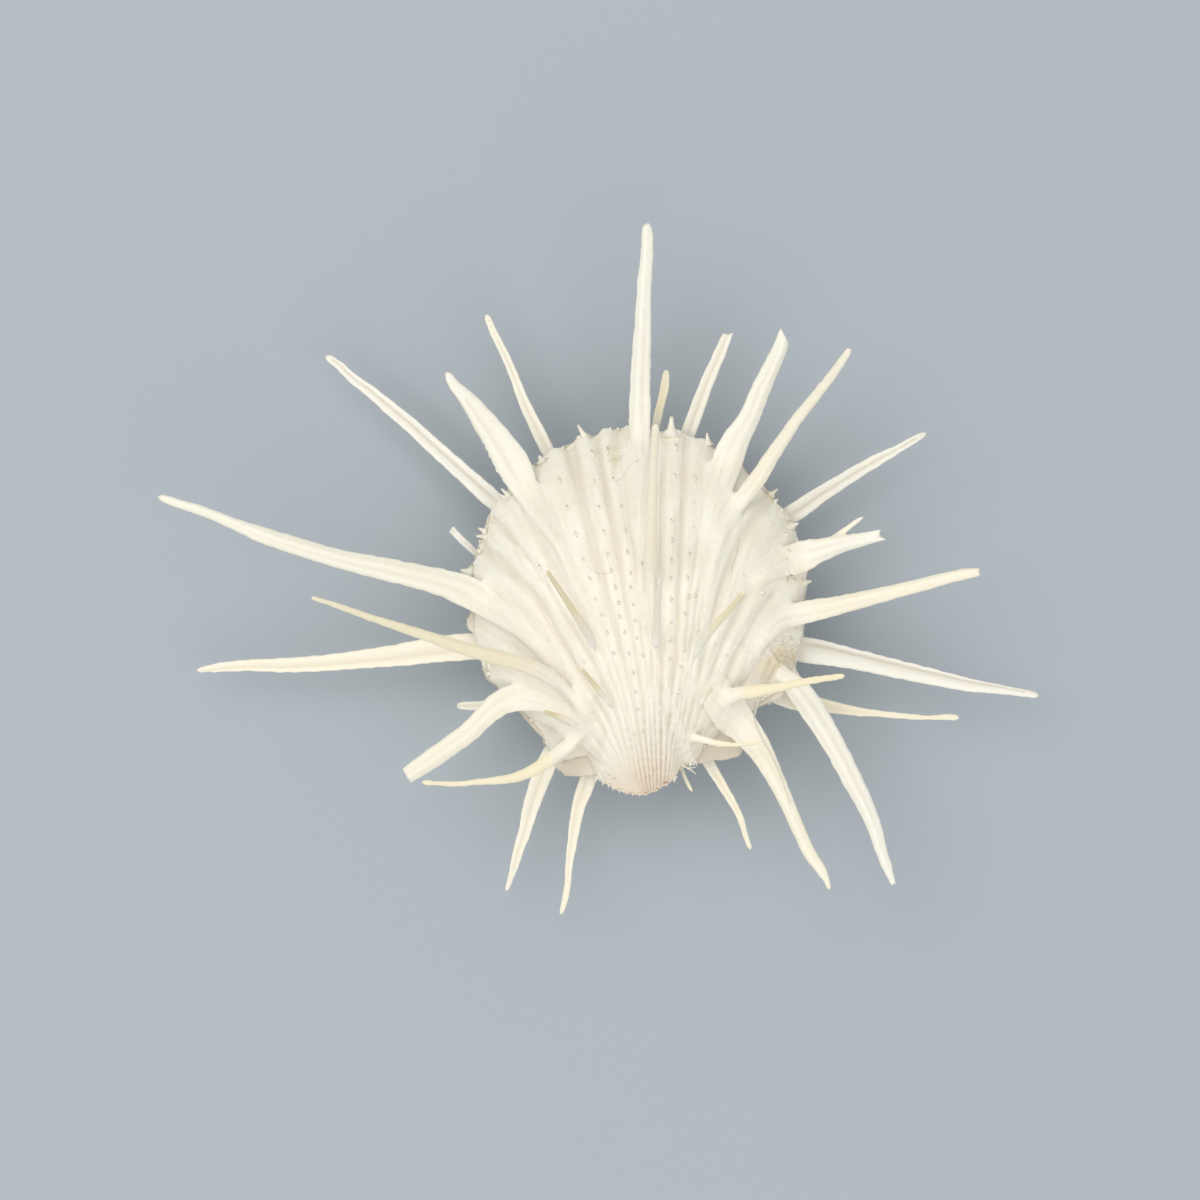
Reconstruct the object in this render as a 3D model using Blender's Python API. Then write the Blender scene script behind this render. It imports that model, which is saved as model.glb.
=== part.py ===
"""Thorny oyster shell: two spiny valves, closed, resting on the lower one's flat scar.

The design is worked out in millimetres. The origin is on the ground under the middle
of the disc, +X and +Y span the seam between the valves, and the hinge is towards -Y.
"""
import math

import bmesh
import bpy
import numpy as np

MM = 0.001

# Driving dimensions in millimetres
SEAM_HEIGHT = 20.0
SEAM_GAP = 0.3
UPPER_RISE = 17.0
LOWER_DEPTH = 22.0
WALL = 2.2
HINGE_SHELF = 4.0
DOME_POWER = 0.9
DISC_CENTRE = (-0.4, 0.0)
BEAK = (0.4, -36.5)
BEAK_LEAN = 0.10

# Ribs that run from the beak to the margin
RIBS = 24
RIB_HEIGHT = 0.45
SIDES_PER_RIB = 4
OUTER_RINGS = 8
INNER_RINGS = 3

# Spines: sections along each one, and the corners of a section
FINE_STATIONS = 61
ROOT_STATIONS = 3
FREE_STATIONS = 6
SHORT_STATIONS = 4
SINK = 0.25
ROOT_SHRINK = 0.5

# The margin of each valve: direction in degrees from the disc's centre, radius in millimetres
UPPER_RIM = [
    (0, 34.0), (20, 34.0), (40, 34.2), (60, 35.0), (75, 34.8), (90, 34.0), (120, 34.0),
    (150, 34.8), (165, 34.2), (180, 33.6), (195, 33.2), (210, 33.6), (225, 31.4), (238, 33.2),
    (250, 33.2), (257, 36.6), (263, 38.4), (270, 39.2), (277, 38.4), (284, 36.6), (292, 34.0),
    (303, 32.4), (315, 32.0), (330, 32.6), (345, 33.6),
]
LOWER_RIM = [
    (0, 34.0), (20, 34.2), (40, 34.2), (60, 34.6), (75, 34.6), (90, 34.0), (120, 34.0),
    (150, 34.6), (165, 34.2), (180, 34.0), (195, 33.4), (208, 34.2), (222, 32.6), (235, 33.6),
    (245, 37.8), (251, 37.6), (258, 36.2), (270, 37.0), (282, 35.2), (290, 34.4), (297, 36.2),
    (304, 37.2), (310, 34.6), (318, 33.0), (327, 34.6), (338, 34.4), (348, 34.0),
]

# Every spine: slope in degrees where it leaves the valve, slope at its tip, how far inside
# the margin it leaves, and its plan from the tip to the root as x, y and width
UPPER_SPINES = [
    (14, 4, 2, [(1.4, 75.6, 1.8), (1.3, 68, 2.6), (0.7, 60, 3.0), (0.2, 48, 3.9), (-0.1, 36, 4.5),
             (0, 26, 3.6), (0, 16, 2.0)]),
    (42, 46, 30, [(3, 35, 1.5), (2.6, 28, 1.8), (2.3, 20, 2.2), (2.1, 12, 2.6), (2, 4, 2.8)]),
    (16, 6, 2, [(-38.8, 45.8, 1.0), (-37, 42.8, 2.0), (-34.4, 40, 3.4), (-31.4, 36, 4.8),
             (-27.4, 30.4, 6.2), (-22, 20, 5.0), (-17, 9, 3.0)]),
    (12, 3, 2, [(-96.4, 20.8, 1.4), (-92, 19.2, 1.8), (-80, 14.8, 2.5), (-68, 10.6, 3.6),
             (-52, 6.4, 4.6), (-38, 3, 5.6), (-28, -1, 5.0), (-19, -8, 2.8)]),
    (38, 42, 10, [(-65, 0.6, 1.0), (-60, -1, 1.3), (-48, -5.2, 1.9), (-36, -9.2, 2.6),
              (-24, -12.6, 3.4), (-17, -16, 2.6)]),
    (10, 4, 2, [(-46.6, -35, 3.4), (-42, -32, 4.0), (-38, -29.2, 4.2), (-31, -23.4, 4.8),
             (-25.5, -19.8, 5.2), (-19, -21.4, 4.0), (-13, -25, 2.4)]),
    (26, 22, 3, [(-43.8, -36.2, 1.1), (-36, -36.6, 1.2), (-28, -35.9, 1.8), (-21, -33.6, 2.8),
              (-16, -30.6, 3.0), (-11, -29.6, 2.2)]),
    (14, 8, 2, [(29, 53.6, 2.4), (26.8, 47.8, 3.3), (24.1, 42, 3.9), (21.6, 36, 4.3),
             (19, 31, 5.2), (16, 22, 4.6), (12, 11, 2.6)]),
    (34, 38, 5, [(41.7, 50, 1.4), (34.4, 40, 2.2), (28.5, 32, 2.6), (24, 25, 3.2),
              (19, 18.6, 2.8), (14.4, 13, 1.8)]),
    (12, 10, 2, [(48, 13, 2.2), (44, 12, 2.7), (40, 11.1, 3.4), (36, 9.9, 4.4), (32, 8.8, 5.4),
              (26, 6.6, 4.8), (19, 2, 3.0)]),
    (9, 12, 2, [(44.9, 16.9, 0.9), (42, 14.8, 1.1), (39.4, 12.8, 1.4), (35.4, 10.0, 1.5), (30, 7, 1.6)]),
    (15, 10, 2, [(67.8, 5.6, 1.6), (62, 4.6, 2.4), (52, 2, 2.8), (44, 0, 3.4), (36, -1.8, 4.2),
              (28, -4.2, 4.2), (21, -9, 2.8)]),
    (34, 36, 7, [(40.8, -15, 1.2), (36, -15.7, 1.5), (28, -17.3, 2.0), (23, -18.2, 2.6),
              (18, -18.6, 2.4)]),
    (14, 4, 2, [(37.9, -58, 0.8), (36.6, -54.6, 2.0), (34.1, -51, 2.5), (31.5, -45.6, 2.7),
             (29.1, -40, 2.9), (26.2, -34.6, 3.6), (23, -28.6, 4.6), (19.5, -23.4, 4.8),
             (14, -21.5, 3.0)]),
    (7, 3, 2, [(50.4, -56.4, 1.0), (49.2, -53.4, 2.0), (48, -50, 2.4), (47, -46, 2.8),
            (44.2, -39.4, 3.7), (40.4, -32, 4.3), (37, -26, 4.7), (33.2, -20, 5.0),
            (28.5, -15, 4.6), (23, -12.4, 3.0)]),
    (34, 30, 3, [(24.6, -28, 0.7), (22, -28.6, 0.9), (18, -28.7, 1.1), (14, -28.2, 1.4),
              (10.5, -27.4, 1.4)]),
    (62, 66, 40, [(-18.6, 6, 1.2), (-16, 2, 1.6), (-13, -2.6, 1.9), (-10.4, -6.8, 2.2)]),
    (58, 62, 40, [(3.9, 4.6, 1.2), (3.5, 0, 1.4), (3.2, -5, 1.8), (3, -9, 2.0)]),
    (60, 64, 40, [(20.4, 1.8, 1.1), (18, -1.4, 1.4), (15, -4.8, 1.7), (12.4, -8, 2.0)]),
    (56, 58, 40, [(-11.8, -13.4, 0.9), (-9.6, -16.2, 1.2), (-7.6, -18.8, 1.4), (-5.8, -21.2, 1.6)]),
    (56, 58, 40, [(-19.6, -22, 1.0), (-16, -23.2, 1.3), (-12.4, -24.8, 1.6)]),
    (62, 64, 40, [(14.6, -17, 0.9), (13, -19.2, 1.1), (11.4, -21.2, 1.4)]),
    (68, 68, 40, [(4, -20.6, 1.0), (3.8, -21.7, 1.1), (3.6, -22.8, 1.3)]),
]
LOWER_SPINES = [
    (-4, 2, 2, [(5.4, 46.6, 0.9), (4.8, 42, 1.6), (3.8, 37.8, 1.8), (3, 34, 2.0), (2.2, 29, 2.2)]),
    (-6, 2, 2, [(-31, 57.6, 1.2), (-29, 53, 1.6), (-24.9, 44, 1.9), (-21.5, 36, 2.5),
             (-18.8, 30.6, 2.9), (-16.6, 26.4, 2.8)]),
    (-8, -2, 2, [(-63.4, 49.2, 1.4), (-58, 44.8, 2.0), (-50, 38.4, 2.8), (-42, 31.4, 3.2),
              (-34, 24.2, 3.6), (-29, 19.6, 4.0), (-25, 16, 3.6)]),
    (-4, 0, 2, [(-37.9, 14.3, 1.3), (-35.2, 11.6, 1.5), (-32.6, 9.2, 1.7), (-28.6, 6, 1.8)]),
    (-9, -3, 2, [(-89.2, -14.2, 1.0), (-84, -13.5, 2.0), (-72, -13.1, 2.9), (-56, -11.9, 3.8),
              (-48, -11, 4.6), (-40, -9.8, 5.4), (-32, -9.2, 5.6), (-26, -8.6, 4.8)]),
    (-10, -10, 2, [(-37, -21.2, 1.7), (-34, -21.2, 1.8), (-30, -20.8, 1.9), (-25.5, -18.6, 2.0)]),
    (-7, -1, 2, [(-26.8, -58.6, 0.9), (-25.4, -54, 1.6), (-24.3, -50, 2.2), (-22, -42, 3.2),
              (-20, -36, 3.9), (-17.8, -31, 4.2), (-14.6, -25.6, 3.8)]),
    (-5, 1, 2, [(-16, -63.4, 0.9), (-15, -59, 1.4), (-14.2, -53, 1.6), (-13, -45, 2.4),
             (-11.6, -39, 3.2), (-10, -34, 3.6), (-8.6, -29.6, 3.2)]),
    (-5, 3, 2, [(17.6, 53.6, 1.9), (16.2, 50, 2.4), (13.8, 44.4, 2.7), (11.6, 38.8, 2.9),
             (9.6, 33.2, 3.2), (7.8, 28, 3.2)]),
    (-8, -1, 2, [(57.6, 33.6, 1.3), (52, 30.4, 1.7), (44, 26, 2.7), (36, 21, 3.3),
              (31, 17.4, 3.9), (25.6, 14, 3.6)]),
    (-7, 0, 2, [(80.2, -19.2, 1.4), (74, -18.2, 1.8), (66, -17, 2.7), (52, -13.9, 3.8),
             (42, -11.6, 4.4), (34, -10, 5.6), (26, -8.6, 5.2)]),
    (-10, -4, 2, [(64.4, -23.6, 1.3), (59, -23.6, 1.2), (52, -23.2, 1.4), (44, -22.4, 1.9),
               (37, -21.2, 2.8), (30, -19.6, 4.4), (24, -17.4, 4.4)]),
    (-6, 0, 2, [(22.2, -50.2, 1.0), (20.4, -44.4, 1.4), (17, -38, 1.9), (14, -33, 2.6),
             (11.4, -28, 2.6)]),
    (-6, -6, 2, [(10.6, -38.6, 0.9), (9, -35.6, 1.1), (7.4, -32, 1.4), (6.4, -29, 1.4)]),
]

# A section of a spine, across and up in widths: a rounded back over a shallow gutter,
# which is filled where the spine lies on the valve
SECTION_TOP = 0.38
SECTION_BOTTOM = 0.12
BACK = [(0.50, 0.0), (0.38, 0.25), (0.0, SECTION_TOP), (-0.38, 0.25), (-0.50, 0.0)]
LIP = 0.28
GUTTER = 0.04


def smooth_line(points, count):
    """Return count stations evenly spread along a smooth curve through the points."""
    points = np.array(points, dtype=float)
    steps = np.linalg.norm(np.diff(points[:, :2], axis=0), axis=1)
    where = np.concatenate(([0.0], np.cumsum(steps)))
    slopes = np.gradient(points, where, axis=0)
    stations = []
    for place in np.linspace(0.0, where[-1], count):
        i = min(int(np.searchsorted(where, place, side="right")) - 1, len(where) - 2)
        span = where[i + 1] - where[i]
        t = (place - where[i]) / span
        stations.append((2 * t**3 - 3 * t**2 + 1) * points[i]
                        + (t**3 - 2 * t**2 + t) * span * slopes[i]
                        + (3 * t**2 - 2 * t**3) * points[i + 1]
                        + (t**3 - t**2) * span * slopes[i + 1])
    return np.array(stations)


class Valve:
    """One half of the shell. side is 1 for the upper valve and -1 for the lower one."""

    def __init__(self, rim, rise, side):
        self.rim_angles = np.array([angle for angle, radius in rim] + [360.0])
        self.rim_radii = np.array([radius for angle, radius in rim] + [rim[0][1]])
        self.rise = rise
        self.side = side

    def radius(self, angle):
        """Return the margin's distance from the disc's centre in a direction in degrees."""
        return np.interp(angle % 360.0, self.rim_angles, self.rim_radii)

    def margin(self, angle, inset=0.0):
        """Return the margin's point in plan, moved inwards by the inset."""
        reach = self.radius(angle) - inset
        turn = math.radians(angle)
        return np.array((DISC_CENTRE[0] + reach * math.cos(turn),
                         DISC_CENTRE[1] + reach * math.sin(turn)))

    def dome(self, x, y, inset=0.0):
        """Return the smooth dome's height over the seam, positive on both valves."""
        across = x - DISC_CENTRE[0]
        along = y - DISC_CENTRE[1]
        angle = math.degrees(math.atan2(along, across))
        share = math.hypot(across, along) / (self.radius(angle) - inset)
        height = max(0.0, 1.0 - share * share) ** DOME_POWER
        return (self.rise - inset) * height * (1.0 - BEAK_LEAN * along / self.radius(90.0))

    def level(self, height):
        """Turn a height over this valve's face of the seam into a height over the ground."""
        return SEAM_HEIGHT + self.side * (SEAM_GAP / 2 + height)

    def shelf(self, angle):
        """Return the width of the rim's flat face, which broadens to a shelf at the hinge."""
        return WALL + HINGE_SHELF * max(0.0, -math.sin(math.radians(angle))) ** 6

    def bowl(self):
        """Make the valve's wall: a ribbed outside, a smooth inside and a flat rim."""
        shell = bmesh.new()
        sides = RIBS * SIDES_PER_RIB
        angles = [360.0 * i / sides for i in range(sides)]
        beak = shell.verts.new((*BEAK, self.level(self.dome(*BEAK))))
        outside = []
        for ring in range(1, OUTER_RINGS + 1):
            share = (ring / OUTER_RINGS) ** 0.8
            loop = []
            for i, angle in enumerate(angles):
                x, y = np.array(BEAK) + share * (self.margin(angle) - np.array(BEAK))
                smooth = self.dome(x, y)
                rib = min(RIB_HEIGHT * share, smooth / 2) * math.cos(2 * math.pi * i / SIDES_PER_RIB)
                height = smooth + rib if ring < OUTER_RINGS else 0.0
                loop.append(shell.verts.new((x, y, self.level(height))))
            outside.append(loop)
        inside = []
        for ring in range(INNER_RINGS):
            share = 1.0 - ring / INNER_RINGS
            loop = []
            for angle in angles:
                rim = self.margin(angle, self.shelf(angle))
                x, y = np.array(DISC_CENTRE) + share * (rim - np.array(DISC_CENTRE))
                height = self.inner_height(share)
                loop.append(shell.verts.new((x, y, self.level(height))))
            inside.append(loop)
        middle = shell.verts.new((*DISC_CENTRE, self.level(self.inner_height(0.0))))
        loops = outside + inside
        for i in range(sides):
            j = (i + 1) % sides
            shell.faces.new((beak, loops[0][i], loops[0][j]))
            for inner, outer in zip(loops, loops[1:]):
                shell.faces.new((inner[i], outer[i], outer[j], inner[j]))
            shell.faces.new((loops[-1][i], middle, loops[-1][j]))
        bmesh.ops.triangulate(shell, faces=shell.faces[:])
        return shell

    def inner_height(self, share):
        """Return the height of the hollow at a share of the way out to its edge."""
        return (self.rise - WALL) * max(0.0, 1.0 - share * share) ** DOME_POWER

    def inside(self, x, y):
        """Return how far a point in plan lies inside the margin."""
        across = x - DISC_CENTRE[0]
        along = y - DISC_CENTRE[1]
        return self.radius(math.degrees(math.atan2(along, across))) - math.hypot(across, along)

    def spine(self, slope, tip_slope, inset, plan):
        """Make one spine, whose root follows a rib and sinks into the wall."""
        line = smooth_line(plan, FINE_STATIONS)[::-1]
        on_valve = [i for i, (x, y, width) in enumerate(line) if self.inside(x, y) >= inset]
        leave = max(on_valve, default=0)
        root_part = np.linspace(0, leave, min(ROOT_STATIONS, 1 + leave // 4))
        free_stations = FREE_STATIONS if len(plan) > 4 else SHORT_STATIONS
        free_part = np.linspace(leave, FINE_STATIONS - 1, free_stations)[1:]
        stations = line[np.concatenate((root_part, free_part)).round().astype(int)]
        steps = np.linalg.norm(np.diff(stations[:, :2], axis=0), axis=1)
        along = np.concatenate(([0.0], np.cumsum(steps)))
        lift = along[len(root_part) - 1]
        x, y, width = line[leave]
        start = self.dome(x, y) + SECTION_BOTTOM * width
        centres = []
        for distance, (x, y, width) in zip(along, stations):
            out = distance - lift
            bend = (tip_slope - slope) * max(out, 0.0) / (along[-1] - lift) / 2
            height = start + self.side * math.tan(math.radians(slope + bend)) * out
            if out <= 0.0:
                height = self.dome(x, y) + SECTION_BOTTOM * width * distance / max(lift, 1.0)
            height = max(height, SECTION_BOTTOM * width + SINK)
            centres.append((x, y, self.level(height)))
        sizes = stations[:, 2].copy()
        sizes[0] *= ROOT_SHRINK
        x, y, z = centres[0]
        centres[0] = (x, y, z - self.side * (SECTION_TOP * sizes[0] + SINK))
        floors = [GUTTER if distance > lift else -SECTION_BOTTOM for distance in along]
        return self.loft(np.array(centres), sizes, floors)

    def loft(self, centres, sizes, floors):
        """Join sections square to the line of centres, and cap both ends."""
        solid = bmesh.new()
        runs = np.gradient(centres, axis=0)
        rings = []
        for centre, run, size, floor in zip(centres, runs, sizes, floors):
            run = run / np.linalg.norm(run)
            across = np.cross(run, (0.0, 0.0, 1.0))
            across = across / np.linalg.norm(across)
            back = np.cross(across, run) * self.side
            under = [(-LIP, -SECTION_BOTTOM), (0.0, floor), (LIP, -SECTION_BOTTOM)]
            rings.append([solid.verts.new(centre + size * (u * across + v * back))
                          for u, v in BACK + under])
        corners = len(rings[0])
        for ring, following in zip(rings, rings[1:]):
            for i in range(corners):
                j = (i + 1) % corners
                solid.faces.new((ring[i], ring[j], following[j], following[i]))
        solid.faces.new(rings[0])
        solid.faces.new(rings[-1])
        bmesh.ops.triangulate(solid, faces=solid.faces[:])
        return solid


def add_object(name, solid):
    """Turn a mesh made in millimetres into an object in metres, facing outwards."""
    bmesh.ops.scale(solid, vec=(MM, MM, MM), verts=solid.verts[:])
    bmesh.ops.recalc_face_normals(solid, faces=solid.faces[:])
    mesh = bpy.data.meshes.new(name)
    solid.to_mesh(mesh)
    solid.free()
    thing = bpy.data.objects.new(name, mesh)
    bpy.context.scene.collection.objects.link(thing)
    return thing


def cut(body, tool, operation):
    """Join a tool to the body or take it away, and remove the tool."""
    step = body.modifiers.new("cut", "BOOLEAN")
    step.operation = operation
    step.solver = "EXACT"
    step.object = tool
    ready = body.evaluated_get(bpy.context.evaluated_depsgraph_get())
    mesh = bpy.data.meshes.new_from_object(ready)
    body.modifiers.clear()
    body.data = mesh
    bpy.data.objects.remove(tool)


def scar_cutter():
    """Make the block under the ground that cuts the lower valve's flat scar."""
    block = bmesh.new()
    side = 60.0
    bmesh.ops.create_cube(block, size=side)
    bmesh.ops.translate(block, vec=(0.0, 0.0, -side / 2), verts=block.verts[:])
    return add_object("scar_cutter", block)


def finish_surface(thing, colour, roughness):
    """Shade the valve smooth and give it its own plain material."""
    thing.data.shade_smooth()
    thing.data.set_sharp_from_angle(angle=math.radians(35))
    surface = bpy.data.materials.new(thing.name)
    surface.use_nodes = True
    shader = surface.node_tree.nodes["Principled BSDF"]
    shader.inputs["Base Color"].default_value = (*colour, 1.0)
    shader.inputs["Roughness"].default_value = roughness
    shader.inputs["Metallic"].default_value = 0.0
    thing.data.materials.clear()
    thing.data.materials.append(surface)


def make_valve(name, valve, spines):
    """Build one valve with all its spines fused to it."""
    body = add_object(name, valve.bowl())
    for slope, tip_slope, inset, plan in spines:
        cut(body, add_object("spine", valve.spine(slope, tip_slope, inset, plan)), "UNION")
    return body


def main():
    for old in list(bpy.data.objects):
        bpy.data.objects.remove(old)
    upper = make_valve("upper_valve", Valve(UPPER_RIM, UPPER_RISE, 1), UPPER_SPINES)
    lower = make_valve("lower_valve", Valve(LOWER_RIM, LOWER_DEPTH, -1), LOWER_SPINES)
    cut(lower, scar_cutter(), "DIFFERENCE")
    finish_surface(upper, (0.86, 0.82, 0.72), 0.4)
    finish_surface(lower, (0.84, 0.81, 0.73), 0.45)


main()
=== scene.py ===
"""Looks of the thorny oyster shell: two detailed valves in place of the plain solids.

Lengths are in millimetres until a mesh is made. The origin is on the ground under the
middle of the disc, the hinge and beak are towards -Y, and the camera looks straight down.
"""
import math

import bpy
import numpy as np
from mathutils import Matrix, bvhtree, kdtree


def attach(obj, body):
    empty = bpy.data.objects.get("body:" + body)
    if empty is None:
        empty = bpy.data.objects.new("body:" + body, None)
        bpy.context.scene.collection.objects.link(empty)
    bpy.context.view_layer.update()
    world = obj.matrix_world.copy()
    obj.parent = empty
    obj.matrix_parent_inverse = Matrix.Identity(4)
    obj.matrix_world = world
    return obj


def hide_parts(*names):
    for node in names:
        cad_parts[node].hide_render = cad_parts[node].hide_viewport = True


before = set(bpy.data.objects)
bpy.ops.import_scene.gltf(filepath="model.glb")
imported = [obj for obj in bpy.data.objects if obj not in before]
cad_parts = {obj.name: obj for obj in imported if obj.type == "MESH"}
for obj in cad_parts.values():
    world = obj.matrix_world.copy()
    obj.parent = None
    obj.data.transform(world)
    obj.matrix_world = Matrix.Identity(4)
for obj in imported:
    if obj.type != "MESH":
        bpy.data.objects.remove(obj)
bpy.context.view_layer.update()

MM = 0.001

# The valves, as the solids have them
SEAM_HEIGHT = 20.0
SEAM_GAP = 0.12
UPPER_RISE = 17.0
LOWER_DEPTH = 22.0
WALL = 2.2
HINGE_SHELF = 4.0
DOME_POWER = 0.9
BEAK_LEAN = 0.10
DISC_CENTRE = np.array((-0.4, 0.0))
SECTION_TOP = 0.38
SECTION_BOTTOM = 0.12
SINK = 0.25
ROOT_SHRINK = 0.5
# What fusing and smoothing take off a spine's width
THINNING = 0.38
DISC_RADIUS = 34.0
# A spine's tube: the corners round it and the distance between its stations
CORNERS = 48
STATION = 0.45
# Tips that are less jagged than this are rounded, the others are torn
TORN = 0.35
# The deepest roughness of the flat scar under the lower valve
SCAR_DEPTH = 0.6

# Meshing: the voxel's side and the most triangles a valve may keep
VOXEL = 0.23
TRIANGLES = 176000

# Ribs, from the margin to the beak, and the point past the beak that they are seen from
FAN_CENTRE = np.array((2.6, -41.5))
UPPER_RIBS = [
    [(-27, -27), (-21, -28.5), (-15, -31), (-10, -33.4), (-6.6, -34.4)],
    [(-31, -17), (-26, -19), (-20, -21.5), (-14.5, -25), (-10, -28.5), (-5.6, -33.6)],
    [(-33, -8), (-27, -11), (-21.5, -13.6), (-16.4, -17), (-12, -21), (-8, -27), (-4.6, -33.8)],
    [(-34, 0), (-26.4, -3), (-22.7, -7), (-18.7, -12.5), (-15.5, -16.5), (-9.6, -24), (-3.6, -34)],
    [(-34, 8), (-26.4, 2), (-22, -2), (-17.6, -8.8), (-13.9, -15.2), (-8.8, -22), (-2.7, -34.8)],
    [(-32.4, 15.6), (-25.4, 9.9), (-19, 1.9), (-15, -6), (-9.6, -15), (-4.4, -27), (-1.8, -35.6)],
    [(-29.5, 20), (-22, 10), (-16, -0.4), (-12, -5.4), (-7.4, -13.6), (-3.4, -25), (-0.9, -36.2)],
    [(-27.2, 24.8), (-16.2, 9.6), (-10, -2.4), (-6, -12.8), (-2.2, -25), (0, -36.6)],
    [(-16.6, 26), (-10.4, 5.6), (-7.8, -2.4), (-5.4, -10.8), (-3.5, -17), (-0.6, -28), (0.9, -36.9)],
    [(-10.4, 32), (-6.6, 10), (-3.6, -3.6), (-1.2, -16.4), (0.4, -26), (1.7, -37)],
    [(-6.8, 32), (-2.4, 9.4), (-0.6, -6.6), (1.3, -16), (1.8, -28), (2.4, -37.2)],
    [(-0.8, 32), (0.2, 12), (0.6, 0), (1.4, -8), (2.2, -18), (3.1, -37.2)],
    [(2.4, 35), (2.4, 12), (2.2, 0), (3, -10), (3.4, -20), (3.8, -37.1)],
    [(7.2, 32), (6.3, 16), (6.2, 0), (5.6, -16), (5, -28), (4.5, -36.9)],
    [(11.4, 31), (10.6, 16), (9.6, 4), (8.6, -10), (7, -22), (5.2, -36.5)],
    [(19, 32), (15.2, 20), (12.8, 11), (10.6, -1), (9.1, -13), (7.9, -21.5), (5.9, -36)],
    [(22.4, 24), (17.6, 20), (13, 8), (11.7, -3.4), (9.8, -15), (8.8, -21), (6.6, -35.4)],
    [(25.6, 26), (18.2, 15), (15.4, 8.2), (13, -2), (11.2, -12), (9.8, -20.8), (7.3, -34.6)],
    [(30, 20), (25, 14), (19, 2), (15.4, -7), (13.2, -15), (10.8, -24), (8, -33.6)],
    [(31, 12), (27, 6), (20.8, -4.8), (17.3, -10.6), (14.4, -19), (8.6, -33)],
    [(32.6, 5), (26.6, -2.4), (22.1, -9.4), (19.7, -15), (14.8, -23.6), (9.2, -32.6)],
    [(34, -6), (28, -10), (22, -17), (17, -23.6), (12, -28.6), (9.8, -32.2)],
    [(31, -17), (26, -20.5), (19, -26), (13, -30.4), (10.4, -32)],
    [(27, -27), (20, -29), (13, -33), (10.6, -33)],
]
# Near the beak only the middle ribs are raised: rib number, share of the full height
BEAK_RIBS = [(0, 0.05), (4, 0.15), (5.5, 0.6), (7, 1), (13, 1), (15, 0.6), (18, 0.2), (23, 0.1)]
# Rows of scales: rib number, share of places left out
SCALE_ROWS = {8: 0.03, 9: 0.03, 10: 0.03, 13: 0.05, 14: 0.3, 6: 0.7, 11: 0.7, 15: 0.7}
LOWER_RIBS = [[(40 * math.sin(math.radians(turn)) + 2.6, 40 * math.cos(math.radians(turn)) - 14),
               (2.6 + 6 * math.sin(math.radians(turn)), -34 + 6 * math.cos(math.radians(turn)))]
              for turn in range(-112, 113, 9)]

# The margins in detail: direction in degrees from the disc's centre, radius
UPPER_RIM = [
    (1.7, 33.6), (5.3, 34.3), (8.1, 33.9), (10.5, 34.8), (21.2, 34.3), (25.8, 35), (31.9, 34.3),
    (34.7, 34.1), (38.2, 34.9), (40.4, 33.4), (44, 33.5), (49, 33.5), (53.2, 34.6), (63, 34.2),
    (66, 35), (67.7, 35.1), (70.3, 34.3), (76.2, 35.2), (80.4, 34.9), (83, 34.3), (87, 34.6),
    (93.2, 35.3), (97.3, 34.7), (101.5, 35.1), (105.7, 34.1), (108, 35.1), (110.4, 35),
    (115.1, 34), (118.8, 34.9), (124.2, 34.5), (135, 34), (140.2, 33.9), (144, 34.4),
    (149, 34.8), (153.3, 33.8), (156, 34.3), (158, 33.6), (160.6, 34.3), (163, 33.5), (165.9, 33.6),
    (170.5, 35), (173, 34.2), (183, 33), (191, 33.4), (201.6, 33.1), (208.4, 33.9),
    (211, 33.2), (218, 32.6), (224, 32.3), (228.2, 32.4), (232, 32.8), (235.5, 33.4), (239, 34.8),
    (244.6, 35.8), (248.3, 34), (252, 33.1), (254.5, 34.4), (257, 37), (260.6, 37.8),
    (264, 38.6), (268, 39.2), (272, 39.3), (275, 38.7), (279, 37.6), (282, 36.7), (284, 34.8),
    (285.4, 34.2), (287.4, 34.8), (289, 35.2), (291.4, 33.6), (294.4, 32.4),
    (301.7, 31.6), (305, 34), (310, 34.6), (314.3, 33.4), (320, 31.8), (325.7, 33.2),
    (331, 34.6), (335, 35.4), (338, 34.1), (344, 33.6), (351.8, 33.4),
]
LOWER_RIM = [
    (0, 33.6), (20, 34), (27, 34.9), (40, 34), (60, 34.2), (75, 34.4), (90, 34), (120, 34.2),
    (150, 34.4), (165, 33.8), (180, 33.3), (183, 33.6), (186.5, 34.7), (189.5, 34.6), (192, 33.4),
    (197, 33.8), (203, 34), (208, 34.3), (211, 33.4), (222, 32.8), (229, 33), (235, 33.9),
    (239, 35), (244.5, 37.7), (247.5, 38.3), (252, 37.4), (257, 36.2), (264, 36.6), (272, 37.2),
    (280, 35.8), (288, 34.6), (294, 35.6), (297, 36.3), (303, 37.3), (305.5, 36.8), (307, 35.2),
    (311, 33.2), (318, 32.6), (326, 34.8), (334, 35), (338, 34.2), (346, 33.8), (352, 33.8),
]

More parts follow.
